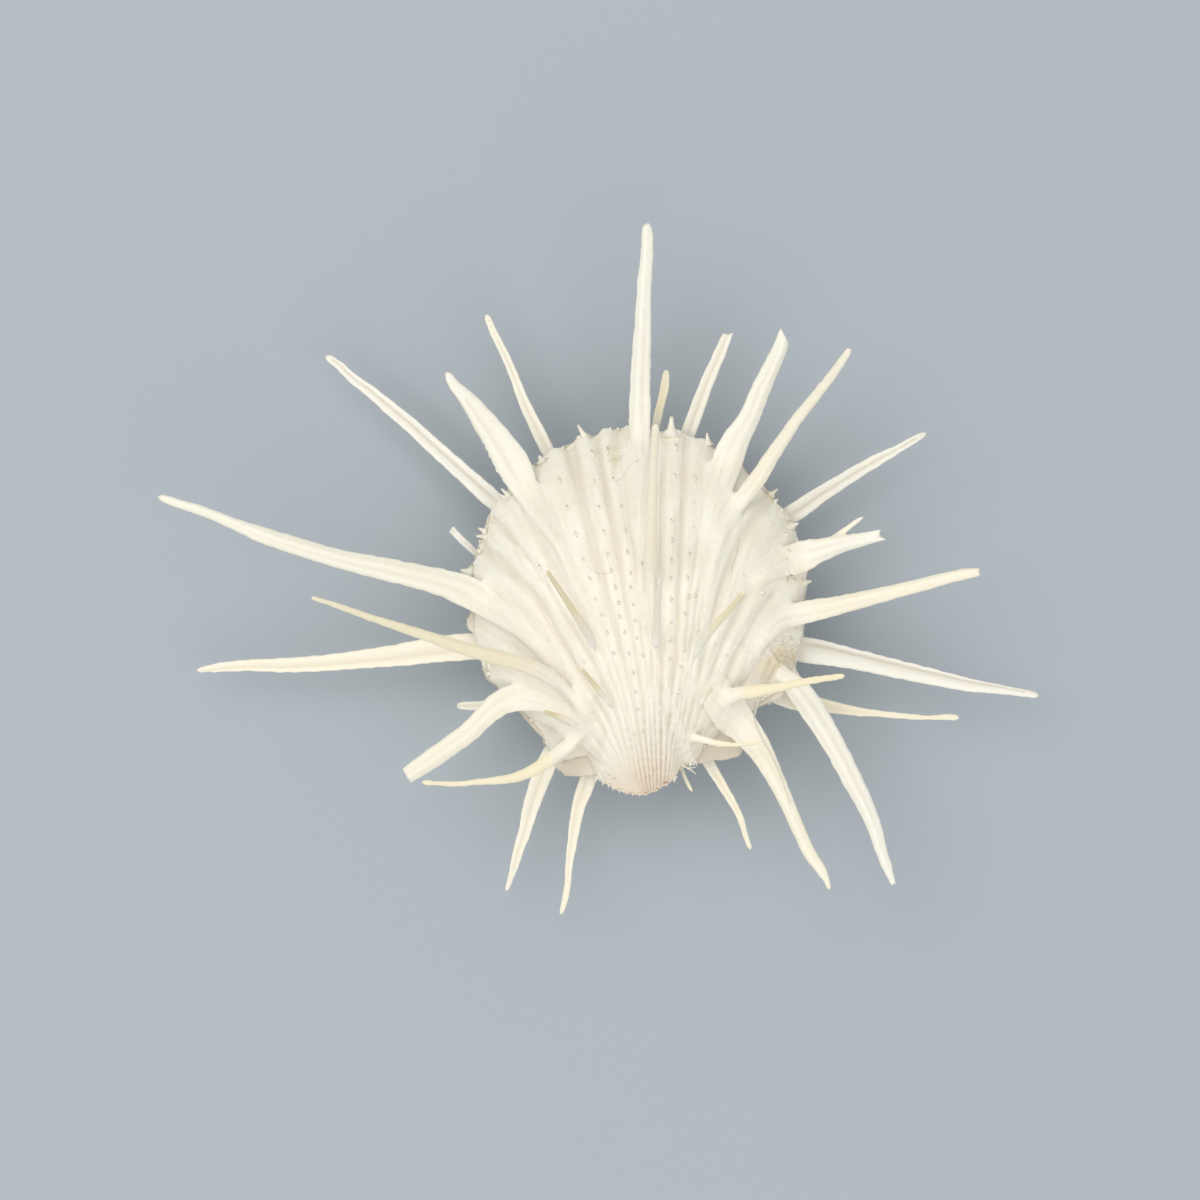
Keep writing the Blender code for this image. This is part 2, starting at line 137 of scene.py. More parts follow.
# Teeth that stand out on the upper margin: direction, length, radius
UPPER_TEETH = [(108.2, 2.2, 0.34), (79, 2.4, 0.5), (66.2, 1.4, 0.36), (38.4, 1, 0.3),
               (35.8, 0.3, 0.25), (141, 1.3, 0.35), (142.6, 0.8, 0.3), (157.6, 1.2, 0.4),
               (155.8, 0.8, 0.35), (170.6, 1.1, 0.5), (25.6, 0.7, 0.4), (16.5, 0.8, 0.3),
               (124.6, 0.6, 0.5), (6, 0.8, 0.4),
               (257, 0.5, 0.12), (259.2, 0.35, 0.14), (261, 0.3, 0.12), (262.4, 0.4, 0.14),
               (264.4, 0.25, 0.13), (266.6, 0.1, 0.15), (268.4, 0.15, 0.12), (270.6, 0.1, 0.15),
               (272.4, 0.12, 0.12), (275.6, 0, 0.2), (278.8, 0.1, 0.2), (281.6, 0.5, 0.22),
               (287.6, 0.5, 0.16), (289.6, 0.6, 0.14)]
# Hair-thin lines on the upper valve, in plan
THREADS = [(0.05, 0.5, [(-7, 10), (-6.4, 8), (-5.6, 5.8)]),
           (0.05, 0.5, [(-5.5, 5.4), (-8.6, 5.4), (-10.6, 6.6)]),
           (0.14, 0.2, [(-0.4, 27.8), (-2.4, 26.4), (-3.4, 24.4), (-4.8, 23.4), (-4, 22.6)]),
           (0.14, 0.2, [(-6.4, 27.6), (-4, 28.4), (-2.4, 29.6)]),
           (0.12, 0.2, [(-6, 30.6), (-4, 30.2), (-2.4, 30.8)]),
           (0.10, 0.25, [(19.6, 12.4), (19.3, 9.4), (18.4, 6.8), (18.1, 4), (17.3, 1.6)]),
           (0.07, 0.3, [(25.6, 17.6), (26.2, 15.4), (27.8, 12.2)]),
           (0.30, 0.3, [(23, -20.4), (22.8, -24), (24.2, -27.4), (26.4, -31.6), (28.4, -36.4),
                        (30, -40.6)])]
# Broken tips, by the place of the tip: how far they reach at the left, the middle and the right
BROKEN_TIPS = {(29, 53.6): (0.6, -0.5, -1.8), (48.2, 13): (0.4, -3, 0.9),
               (-46.8, -35.2): (0, 0, -0.2),
               (17.8, 53.8): (-0.6, -0.7, 0.3), (67.8, 5.6): (0.2, -0.5, 0.1)}
# How far from the root the cream colour is reached, by the place of the tip, where it is late
LATE_CREAM = {(-65, 0.6): 20, (-18.6, 6): 22, (20.4, 1.8): 22, (-11.8, -13.4): 12,
              (-19.6, -22): 10, (14.6, -17): 8}
# How far from the root it is reached on the other spines
CREAM_START = 6
# Areas with small flakes: how many, the middle and the spread in plan. The last is at the beak.
FLAKES = [(34, (28.6, -10.6), (1.6, 2.8)), (20, (29.6, 9.5), (2.0, 6.6)),
          (8, (-6.6, -35.0), (1.4, 0.9))]
# Thin curved hooks beside the beak
HOOKS = [[(8.2, -32.8, 21.2), (9.6, -33.6, 21.6), (11.2, -33.4, 21.8)],
         [(9.4, -33.6, 21), (10.6, -34.3, 21.4), (11.2, -34.9, 21.4)],
         [(-7.4, -35, 21), (-8.3, -35.9, 21.2)],
         [(-6.4, -35.8, 21), (-7, -36.8, 21.2)]]

# Spines as in the solids, and for the looks: how cream each is, how jagged its tip is, and
# where its keel lies across it. Each plan runs from the tip to the root: x, y and width.
UPPER_SPINES = [
    (14, 4, 2, 0.10, 0.2, -0.1, [(1.4, 75.6, 2.3), (1.4, 72, 2.4), (1.3, 68, 2.6), (0.9, 64, 2.9),
     (0.7, 60, 3), (0.5, 54, 3.5), (0.2, 48, 3.9), (0, 42, 4.2), (-0.1, 36, 4.6),
     (0, 30, 4.4), (0, 24, 3.2), (0.2, 16, 2), (0.4, 8, 1.4)]),
    (42, 46, 30, 0.6, 0.2, 0, [(3, 35, 1.6), (2.8, 31, 1.7), (2.6, 28, 1.8), (2.3, 20, 2.1),
     (2.1, 12, 2.4), (2, 4, 2.8), (2.2, -3, 2.4), (2.8, -9, 1.4)]),
    (16, 6, 2, 0.15, 0.3, -0.28, [(-38.8, 45.8, 1.4), (-37, 42.8, 2.3), (-34.4, 40, 3.4),
     (-31.4, 36, 4.8), (-28.4, 31.8, 6), (-25.8, 27.6, 7.2), (-20.9, 18.6, 4.8),
     (-15.5, 10, 2.9), (-12.4, 2.6, 2), (-9.9, -2.3, 1.5), (-7.7, -7.7, 1.1)]),
    (12, 3, 2, 0.25, 0.3, 0.1, [(-96.4, 20.8, 1.6), (-92, 19.2, 1.8), (-88, 18, 2),
     (-80, 14.8, 2.5), (-76, 13.2, 3.2), (-68, 10.6, 3.6), (-60, 8.2, 3.8), (-52, 6.4, 4.6),
     (-44, 4.6, 5), (-38, 3, 5.8), (-34, 1.4, 6.8), (-28.4, -2.4, 5.6), (-24, -6, 3.6),
     (-20, -10.2, 2.4), (-16, -15.6, 1.6), (-12.8, -20, 1.1)]),
    (38, 42, 10, 0.9, 0.2, 0.1, [(-65, 0.6, 1), (-60, -1, 1.3), (-54, -3.2, 1.5),
     (-48, -5.2, 1.9), (-42, -7.2, 2.2), (-36, -9.2, 2.6), (-30, -11, 3), (-24, -12.6, 3.1),
     (-19, -14.6, 3.1), (-15.2, -17.4, 2.6), (-10.8, -23.4, 1.8), (-7.6, -28, 1.2)]),
    (10, 4, 2, 0.35, 0.5, -0.1, [(-46.8, -35.2, 3.3), (-45, -34, 3.6), (-42, -32, 4),
     (-38, -29.2, 4.1), (-34, -26.2, 4.2), (-30.8, -23, 4.4), (-27.6, -20.4, 5.4),
     (-22.6, -19.4, 6), (-17, -21.4, 4.4), (-13, -24.2, 3), (-9.6, -27.6, 1.8)]),
    (26, 22, 3, 0.9, 0.2, 0, [(-43.8, -36.2, 1.2), (-40, -36.5, 1.1), (-36, -36.6, 1.2),
     (-32, -36.2, 1.4), (-28, -35.9, 1.8), (-25, -35.4, 2.1), (-21, -33.8, 2.5),
     (-17.6, -31.5, 2.9), (-14.6, -29.2, 3.2), (-11.8, -26.6, 2.4), (-9.4, -23.4, 1.4)]),
    (14, 8, 2, 0.15, 1, 0.12, [(29, 53.6, 2.5), (28.2, 51, 2.9), (26.8, 47.8, 3.3),
     (24.1, 42, 3.9), (21.6, 36, 4.4), (19.2, 32, 5.6), (17.3, 27.4, 7), (15.8, 22, 5.6),
     (14.6, 18, 3.8), (13.2, 13, 2.2), (12.2, 8, 1.3)]),
    (26, 46, 5, 0.45, 0.3, 0.1, [(41.7, 50, 1.5), (39, 46, 1.9), (34.4, 40, 2.2),
     (31.2, 36, 2.4), (28.5, 32, 2.7), (25.8, 28, 3.1), (24, 25, 3.4), (21.6, 21.8, 3.6),
     (19, 18.4, 3.4), (16.6, 14.2, 2.6), (15, 9.4, 2), (13.8, 4, 1.5), (12.6, -3, 1.1)]),
    (12, 10, 2, 0.10, 1.6, 0.1, [(48.2, 13, 2.3), (46, 12.5, 2.5), (44, 12, 2.8),
     (40, 11.1, 3.5), (36, 9.9, 4.8), (32.4, 8.9, 6.4), (28, 7, 5.6), (23, 4.2, 3.4),
     (19, 1.4, 2)]),
    (9, 12, 2, 0.5, 0.2, 0, [(44.9, 16.9, 0.9), (42, 14.8, 1.1), (39.4, 12.8, 1.4),
     (35.4, 10, 1.8), (30, 7, 1.6)]),
    (15, 10, 2, 0.5, 0.4, -0.1, [(67.8, 5.6, 1.6), (66, 5.4, 2.1), (62, 4.6, 2.4),
     (56, 3, 2.7), (52, 2, 2.8), (44, 0, 3.4), (38, -1.4, 4), (33.2, -2.4, 4.9),
     (28, -4.2, 4.9), (25, -7.2, 3.8), (22.6, -11, 2.6), (20.6, -15, 1.5)]),
    (34, 36, 7, 1, 0.2, 0, [(40.9, -15, 1.3), (36, -15.7, 1.5), (32, -16.4, 1.7),
     (28, -17.3, 2), (23, -18.2, 2.6), (18.4, -19, 3.2), (15, -21.6, 3.8),
     (12.6, -24.6, 2.4)]),
    (14, 4, 2, 0.45, 0.2, 0.1, [(37.9, -58.2, 0.7), (37.2, -56, 1.4), (36.2, -54, 2.1),
     (34.1, -51, 2.5), (31.5, -45.6, 2.7), (29.1, -40, 3), (26.5, -34.6, 3.8),
     (24, -30, 5), (20.9, -25.8, 6.8), (17.7, -22, 8.4), (14.2, -19, 7),
     (10.4, -17, 3.6)]),
    (7, 3, 2, 0.10, 0.8, 0.1, [(50.5, -56.6, 0.9), (49.4, -53.6, 2), (48.1, -50, 2.4),
     (47, -46, 2.9), (44.2, -39.4, 3.7), (42.4, -36, 4.1), (40.4, -32, 4.3), (37, -26, 4.7),
     (33.4, -20.4, 5.2), (30.4, -16.6, 4.6), (27.4, -14, 3)]),
    (34, 30, 3, 0.9, 0.2, 0, [(24.6, -28, 0.8), (22, -28.6, 0.9), (18, -28.8, 1.1),
     (15, -28.5, 1.5), (12.4, -27.8, 2), (9.6, -27.4, 2.2)]),
    (62, 66, 40, 1.25, 0.2, 0, [(-18.6, 6, 1), (-16, 2, 1.3), (-13, -2.6, 1.6),
     (-10.4, -6.8, 1.9), (-8.6, -10.4, 1.3)]),
    (58, 62, 40, 0.35, 0.2, 0, [(3.9, 4.6, 1.2), (3.5, 0, 1.4), (3.2, -5, 1.8), (3.1, -10, 2)]),
    (60, 64, 40, 1.1, 0.3, 0, [(20.4, 1.8, 1.2), (18, -1.4, 1.4), (15, -4.8, 1.7),
     (12.4, -8, 2), (10.6, -12, 1.4)]),
    (56, 58, 40, 1.5, 0.3, 0, [(-11.8, -13.4, 0.9), (-9.6, -16.2, 1.2), (-7.6, -18.8, 1.4),
     (-5.4, -21.8, 1.6)]),
    (56, 58, 40, 1.5, 0.3, 0, [(-19.6, -22, 1), (-16, -23.2, 1.3), (-12, -25, 1.8)]),
    (62, 64, 40, 0.9, 0.2, 0, [(14.6, -17, 0.9), (13, -19.2, 1.1), (11.2, -21.8, 1.4)]),
    (68, 68, 40, 0.4, 0.3, 0, [(4, -20.6, 1), (3.8, -21.7, 1.1), (3.6, -23.2, 1.4)]),
]
LOWER_SPINES = [
    (-4, 2, 2, 0.9, 0.2, 0, [(5.4, 46.6, 1.4), (4.8, 42, 1.8), (3.8, 37.8, 1.7), (3, 34, 2.1),
     (2.2, 29, 2.2)]),
    (-6, 2, 2, 0.35, 0.3, 0, [(-31, 57.6, 1.3), (-29, 53, 1.6), (-27.1, 49.2, 1.7),
     (-24.9, 44, 1.9), (-23.4, 40, 2.2), (-21.5, 36, 2.5), (-18.8, 30.6, 2.9),
     (-16.6, 26.4, 2.8)]),
    (-8, -2, 2, 0.1, 0.2, 0.05, [(-63.4, 49.2, 1.4), (-60, 46.8, 1.8), (-58, 44.8, 2),
     (-54, 41.8, 2.4), (-50, 38.4, 2.8), (-46, 35.1, 3), (-42, 31.4, 3.2), (-38, 27.8, 3.4),
     (-34, 24.2, 3.6), (-30, 20.6, 4), (-25, 16, 3.6)]),
    (-4, 0, 2, 0.1, 0.4, 0, [(-37.9, 14.3, 1.5), (-35.2, 11.6, 1.5), (-32.6, 9.2, 1.7),
     (-28.6, 6, 1.8)]),
    (-9, -3, 2, 0.5, 0.2, -0.12, [(-89.4, -14.2, 0.9), (-84, -13.5, 2), (-78, -13.1, 2.4),
     (-72, -13.1, 2.9), (-64, -12.7, 3.3), (-56, -11.9, 3.8), (-48, -11, 4.6), (-40, -9.8, 5.4),
     (-32, -9.2, 5.6), (-26, -8.6, 4.8)]),
    (-10, -10, 2, 0.35, 0.3, 0, [(-37.2, -21.2, 1.7), (-34, -21.2, 1.8), (-30, -20.8, 1.9),
     (-25.5, -18.6, 2)]),
    (-7, -1, 2, 0.4, 0.2, 0, [(-26.9, -58.8, 0.8), (-25.4, -54, 1.6), (-24.3, -50, 2.2),
     (-23, -46, 2.6), (-22, -42, 3.2), (-20.7, -38, 3.7), (-19.6, -35, 4), (-17.8, -31, 4.2),
     (-14.6, -25.6, 3.8)]),
    (-5, 1, 2, 0.5, 0.2, 0.1, [(-16, -63.5, 0.8), (-15, -60, 1.4), (-14.5, -57, 1.4),
     (-14.2, -53, 1.6), (-13.6, -49, 2), (-13, -45, 2.4), (-12.2, -41, 2.8), (-11, -37.6, 3.4),
     (-9.8, -34, 3.6), (-8, -29.6, 3.2)]),
    (-5, 3, 2, 0.3, 1, 0, [(17.8, 53.8, 1.9), (16.4, 50.4, 2.4), (15.2, 47.6, 2.5),
     (13.8, 44.4, 2.7), (12.6, 41.4, 2.8), (11, 37, 3), (9.6, 33.2, 3.2), (7.8, 28, 3.2)]),
    (-8, -1, 2, 0.15, 0.3, 0, [(57.7, 33.7, 1.2), (54, 31.6, 1.6), (52, 30.4, 1.7),
     (48, 28.3, 2.4), (44, 26, 2.7), (40, 23.5, 3), (36, 21, 3.3), (32, 18.2, 3.9),
     (29, 16.4, 4), (25, 13.8, 3.6)]),
    (-7, 0, 2, 0.1, 0.2, -0.2, [(80.4, -19.2, 1.4), (74, -18.2, 1.8), (70, -17.6, 2.3),
     (66, -17, 2.8), (60, -15.7, 3.3), (52, -13.9, 3.8), (42, -11.6, 4.4), (36, -10.4, 5.2),
     (32, -9.8, 5.7), (26, -8.6, 5.2)]),
    (-10, -4, 2, 0.7, 0.3, 0, [(64.5, -23.7, 1.3), (62, -23.5, 1.4), (59, -23.6, 1.1),
     (52, -23.2, 1.3), (48, -22.8, 1.4), (44, -22.4, 1.8), (38, -21.4, 2.6), (31, -20, 4.2),
     (24, -17.4, 4.6)]),
    (-6, 0, 2, 0.6, 0.2, 0, [(22.3, -50.4, 1), (21.3, -47.6, 1.2), (20.4, -44.4, 1.4),
     (19, -41.4, 1.6), (17, -38, 1.9), (15.2, -35, 2.2), (13.6, -32.4, 2.7), (11.4, -28, 2.6)]),
    (-6, -6, 2, 0.8, 0.2, 0, [(10.7, -38.8, 0.8), (9.4, -36.4, 1), (8.4, -34, 1.3),
     (6.4, -29, 1.4)]),
]


def smooth_noise(places, length, seed):
    """Return smooth noise between about -1 and 1 at the places, with bumps of that length."""
    rng = np.random.default_rng(seed)
    places = np.atleast_2d(places.T).T
    total = np.zeros(len(places))
    waves = 14
    for _ in range(waves):
        direction = rng.normal(size=places.shape[1])
        direction /= np.linalg.norm(direction)
        pitch = 2 * math.pi / length * rng.uniform(0.6, 1.5)
        total += np.sin(places @ direction * pitch + rng.uniform(0, 2 * math.pi))
    return total / math.sqrt(waves)


def ease(value, low, high):
    """Rise smoothly from 0 at low to 1 at high."""
    t = np.clip((value - low) / (high - low), 0.0, 1.0)
    return t * t * (3 - 2 * t)


def covered(steps):
    """Return the distance covered at each station, from the steps between them."""
    return np.concatenate(([0.0], np.cumsum(steps)))


def smooth_line(points, count):
    """Return count stations evenly spread along a smooth curve through the points."""
    points = np.array(points, dtype=float)
    where = covered(np.linalg.norm(np.diff(points[:, :2], axis=0), axis=1))
    slopes = np.gradient(points, where, axis=0)
    places = np.linspace(0.0, where[-1], count)
    i = np.clip(np.searchsorted(where, places, side="right") - 1, 0, len(where) - 2)
    span = (where[i + 1] - where[i])[:, None]
    t = ((places - where[i]) / span[:, 0])[:, None]
    return ((2 * t**3 - 3 * t**2 + 1) * points[i] + (t**3 - 2 * t**2 + t) * span * slopes[i]
            + (3 * t**2 - 2 * t**3) * points[i + 1] + (t**3 - t**2) * span * slopes[i + 1])


class Shape:
    """Points and faces in millimetres, gathered from several closed pieces."""

    def __init__(self):
        self.points = []
        self.corners = []
        self.sizes = []
        self.count = 0

    def add(self, points, faces):
        """Add points and an array of faces that all have the same number of corners."""
        self.points.append(points)
        self.add_faces(faces, self.count)
        self.count += len(points)

    def add_faces(self, faces, first):
        """Add faces whose corners are counted from the first point given."""
        self.corners.append(faces.ravel() + first)
        self.sizes.append(np.full(len(faces), faces.shape[1]))

    def add_tube(self, rings):
        """Join rings of points, an array of ring, corner and axis, into a closed tube."""
        count, sides = rings.shape[:2]
        here = np.arange(sides)
        after = (here + 1) % sides
        faces = [np.stack((low + here, low + after, low + sides + after, low + sides + here), axis=1)
                 for low in range(0, (count - 1) * sides, sides)]
        first = self.count
        ends = np.stack((rings[0].mean(axis=0), rings[-1].mean(axis=0)))
        self.add(np.concatenate((rings.reshape(-1, 3), ends)), np.concatenate(faces))
        start = count * sides
        low = start - sides
        self.add_faces(np.stack((after, here, np.full(sides, start)), axis=1), first)
        self.add_faces(np.stack((low + here, low + after, np.full(sides, start + 1)), axis=1), first)

    def mesh(self, name):
        """Make a Blender mesh in metres."""
        points = np.concatenate(self.points) * MM
        corners = np.concatenate(self.corners).astype(np.int32)
        sizes = np.concatenate(self.sizes)
        starts = np.concatenate(([0], np.cumsum(sizes)[:-1])).astype(np.int32)
        mesh = bpy.data.meshes.new(name)
        mesh.vertices.add(len(points))
        mesh.vertices.foreach_set("co", points.ravel().astype(np.float32))
        mesh.loops.add(len(corners))
        mesh.loops.foreach_set("vertex_index", corners)
        mesh.polygons.add(len(sizes))
        mesh.polygons.foreach_set("loop_start", starts)
        mesh.update(calc_edges=True)
        mesh.validate()
        return mesh


class Valve:
    """One half of the shell. side is 1 for the upper valve and -1 for the lower one."""

    def __init__(self, rim, ribs, rise, side):
        angles = [rim[-1][0] - 360.0] + [angle for angle, radius in rim] + [rim[0][0] + 360.0]
        radii = [rim[-1][1]] + [radius for angle, radius in rim] + [rim[0][1]]
        self.rim_angles = np.array(angles)
        self.rim_radii = np.array(radii)
        self.rise = rise
        self.side = side
        self.ribs = ribs
        self.rib_paths()

    def radius(self, angle):
        """Return the margin's distance from the disc's centre in a direction in degrees."""
        return np.interp(np.mod(angle, 360.0), self.rim_angles, self.rim_radii)

    def polar(self, x, y):
        """Return the direction in degrees and the distance from the disc's centre."""
        across = x - DISC_CENTRE[0]
        along = y - DISC_CENTRE[1]
        return np.degrees(np.arctan2(along, across)), np.hypot(across, along)

    def inside(self, x, y):
        """Return how far points in plan lie inside the margin."""
        angle, distance = self.polar(x, y)
        return self.radius(angle) - distance

    def dome(self, x, y):
        """Return the smooth dome's height over the seam, positive on both valves."""
        angle, distance = self.polar(x, y)
        share = distance / self.radius(angle)
        height = np.maximum(0.0, 1.0 - share * share) ** DOME_POWER
        lean = 1.0 - BEAK_LEAN * (y - DISC_CENTRE[1]) / self.radius(90.0)
        return self.rise * height * lean

    def level(self, height):
        """Turn a height over this valve's face of the seam into a height over the ground."""
        return SEAM_HEIGHT + self.side * (SEAM_GAP / 2 + height)

    def rib_paths(self):
        """Store each rib as its direction from the fan's centre at a range of distances."""
        self.reaches = np.linspace(2.0, 82.0, 161)
        paths = []
        for rib in self.ribs:
            line = smooth_line([(x, y, 0.0) for x, y in rib], 120)
            across = line[:, 0] - FAN_CENTRE[0]
            along = line[:, 1] - FAN_CENTRE[1]
            far = np.hypot(across, along)
            order = np.argsort(far)
            turn = np.degrees(np.arctan2(across, along))
            paths.append(np.interp(self.reaches, far[order], turn[order]))
        self.paths = np.sort(np.array(paths), axis=0)

    def ribbing(self, x, y):
        """Return where points lie among the ribs, as seen from the fan's centre.

        These are the way across from one rib to the next, the rib's number, the spacing of
        the ribs, and the distance and direction.
        """
        across = x - FAN_CENTRE[0]
        along = y - FAN_CENTRE[1]
        reach = np.hypot(across, along)
        turn = np.degrees(np.arctan2(across, along))
        here = np.stack([np.interp(reach, self.reaches, path) for path in self.paths])
        last = len(self.paths) - 1
        place = np.clip((here <= turn).sum(axis=0) - 1, 0, last - 1)
        low = np.take_along_axis(here, place[None], axis=0)[0]
        high = np.take_along_axis(here, place[None] + 1, axis=0)[0]
        gap = np.maximum(high - low, 0.6)
        share = np.mod((turn - low) / gap, 1.0)
        return share, place + share, reach * np.radians(gap), reach, turn

    def wall(self):
        """Make the smooth wall: a dome outside, a smaller one inside and a flat rim."""
        sides = 720
        angles = np.arange(sides) * 360.0 / sides
        turns = np.radians(angles)
        ways = np.stack((np.cos(turns), np.sin(turns)), axis=1)
        rim = self.radius(angles)
        shelf = WALL + HINGE_SHELF * np.maximum(0.0, -np.sin(turns)) ** 6
        rings = []
        for share in np.sin(np.linspace(0.02, math.pi / 2, 60)):
            plan = DISC_CENTRE + ways * (rim * share)[:, None]
            height = self.dome(plan[:, 0], plan[:, 1])
            rings.append(np.column_stack((plan, self.level(height))))
        for share in np.sin(np.linspace(math.pi / 2, 0.02, 30)):
            plan = DISC_CENTRE + ways * (np.minimum(rim - shelf, 30.0) * share)[:, None]
            height = (self.rise - WALL) * max(0.0, 1.0 - share * share) ** DOME_POWER
            rings.append(np.column_stack((plan, np.full(sides, self.level(height)))))
        return np.array(rings)

    def spine(self, slope, tip_slope, inset, plan):
        """Return a spine's centre line from root to tip, its widths and its free share.

        Up to the inset from the margin the spine lies on the dome. From there on it rises
        freely by its slope, in degrees.
        """
        count = 61
        line = smooth_line(plan, count)[::-1]
        x, y, width = line.T
        on_valve = np.nonzero(self.inside(x, y) >= inset)[0]
        leave = int(on_valve.max()) if len(on_valve) else 0
        along = covered(np.hypot(np.diff(x), np.diff(y)))
        lift = along[leave]
        start = self.dome(x[leave], y[leave]) + SECTION_BOTTOM * thickness(width[leave])
        out = along - lift
        bend = (tip_slope - slope) * np.maximum(out, 0.0) / (along[-1] - lift) / 2
        free = start + self.side * np.tan(np.radians(slope + bend)) * out
        lying = self.dome(x, y) + SECTION_BOTTOM * thickness(width) * along / max(lift, 1.0)
        height = np.where(out > 0.0, free, lying)
        weights = np.exp(-0.5 * ((along[:, None] - along[None, :]) / 2.4) ** 2)
        soft = weights @ height / weights.sum(axis=1)
        height = height + np.exp(-(out / 5.0) ** 2) * (soft - height)
        height = np.maximum(height, SECTION_BOTTOM * width + SINK)
        blend = 1.0 - ease(along, 0.0, max(min(lift, 8.0), 1.2))
        width = width * (1.0 - (1.0 - ROOT_SHRINK) * blend)
        height = height - blend * (SECTION_TOP * thickness(width) + SINK)
        centres = np.stack((x, y, self.level(height)), axis=1)
        return centres, width, ease(out / math.cos(math.radians(slope)), 0.0, 6.0)


def section(seed, keel_place):
    """Return one spine's section in widths: across, up, and its gutter's depth.

    The back has an off-centre keel between two shallow hollows. The gutter is on the
    other side, which faces the camera on the lower valve.
    """
    rng = np.random.default_rng(seed)
    turn = (np.arange(CORNERS) + 0.5) * 2 * math.pi / CORNERS
    across = 0.5 * np.sign(np.cos(turn)) * np.abs(np.cos(turn)) ** 0.9
    on_back = np.sin(turn) > 0
    bent = np.where(across > keel_place, (across - keel_place) / (0.5 - keel_place),
                    (across - keel_place) / (0.5 + keel_place))
    back = 0.31 * np.maximum(1 - bent * bent, 0.0) ** 0.62
    back += 0.07 * np.exp(-((across - keel_place) / 0.07) ** 2)
    back -= 0.05 * np.exp(-((np.abs(across - keel_place) - 0.20) / 0.08) ** 2)
    under = -0.14 * np.maximum(1 - 4 * across * across, 0.0) ** 0.4
    up = np.where(on_back, back, under)
    up += 0.012 * np.cos(across * 47 + rng.uniform(0, 6)) * (1 - np.abs(across) * 2)
    groove = 0.27 * np.exp(-np.abs((across - keel_place) / 0.19) ** 1.6)
    groove += 0.05 * np.exp(-((across + 0.27 - keel_place) / 0.07) ** 2)
    return across, up, np.where(on_back, 0.0, groove)


def thickness(width):
    """Return how thick a spine is for its width: broad roots are flatter."""
    return np.minimum(width, np.maximum(3.7 - 0.26 * (width - 3.7), 2.0))


def add_spine(shape, valve, row, seed):
    """Add one spine's tube to the shape and return what describes it at each station.

    These are its centre, width, free share, cream share, sideways, up and keel.
    """
    slope, tip_slope, inset, cream, jag, keel_place, plan = row
    centres, widths, free = valve.spine(slope, tip_slope, inset, plan)
    rng = np.random.default_rng(seed)
    along = covered(np.linalg.norm(np.diff(centres, axis=0), axis=1))
    stations = int(max(along[-1] / STATION, 12))
    places = np.linspace(0.0, along[-1], stations)
    centres = np.stack([np.interp(places, along, centres[:, axis]) for axis in range(3)], axis=1)
    widths = np.interp(places, along, widths)
    free = np.interp(places, along, free)
    widths = widths * (1 + 0.025 * smooth_noise(places[:, None], 4.0, seed + 1) * free) + THINNING
    across, up_share, groove = section(seed, keel_place)
    runs = np.gradient(centres, axis=0)
    runs /= np.linalg.norm(runs, axis=1)[:, None]
    sideways = np.cross(runs, (0.0, 0.0, 1.0))
    sideways /= np.linalg.norm(sideways, axis=1)[:, None]
    up = np.cross(sideways, runs) * valve.side
    deep = ease(widths, 0.9, 2.4) * free
    left = (places[-1] - places) / (0.85 * widths[-1] + 0.2)
    end = np.sqrt(np.clip(1.0 - (1.0 - np.minimum(left, 1.0)) ** 2, 0.02, 1.0))
    if jag >= TORN:
        end = np.ones(stations)
    lift = (thickness(widths) * end)[:, None] * (up_share + deep[:, None] * groove)
    rings = (centres[:, None, :]
             + ((widths * end)[:, None] * across)[:, :, None] * sideways[:, None, :]
             + lift[:, :, None] * up[:, None, :])
    tear = rng.normal(size=CORNERS)
    tear = np.convolve(np.concatenate((tear[-2:], tear, tear[:2])), np.ones(3) / 3, "same")[2:-2]
    tear *= jag if jag >= TORN else 0.0
    if plan[0][:2] in BROKEN_TIPS:
        tear = 0.2 * tear + np.interp(across, (-0.36, 0.0, 0.36), BROKEN_TIPS[plan[0][:2]])
    reach = ease(np.linspace(0, 1, stations), 1.0 - 8.0 / stations, 1.0)
    rings += (reach[:, None] * tear)[:, :, None] * runs[:, None, :]
    shape.add_tube(rings)
    start = places[np.argmax(free > 0.02)]
    paint = cream * ease(places - start, 0.0, LATE_CREAM.get(plan[0][:2], CREAM_START))
    return centres, widths, free, paint, sideways, up, np.full(stations, keel_place)


def with_step(shape, name, kind):
    """Make a shape's object, and a modifier on it."""
    thing = bpy.data.objects.new(name, shape.mesh(name))
    bpy.context.scene.collection.objects.link(thing)
    return thing, thing.modifiers.new(kind.lower(), kind)


def remeshed(shape, name):
    """Fuse overlapping closed pieces into one skin of small squares."""
    thing, step = with_step(shape, name, "REMESH")
    step.mode = "VOXEL"
    step.voxel_size = VOXEL * MM
    return applied(thing)


def thinned(points, faces, name):
    """Collapse the skin to the triangle limit, most where it is flattest."""
    shape = Shape()
    shape.add(points, faces)
    thing, step = with_step(shape, name, "DECIMATE")
    step.ratio = min(1.0, TRIANGLES / (2.0 * len(faces)))
    step.use_collapse_triangulate = True
    return applied(thing)


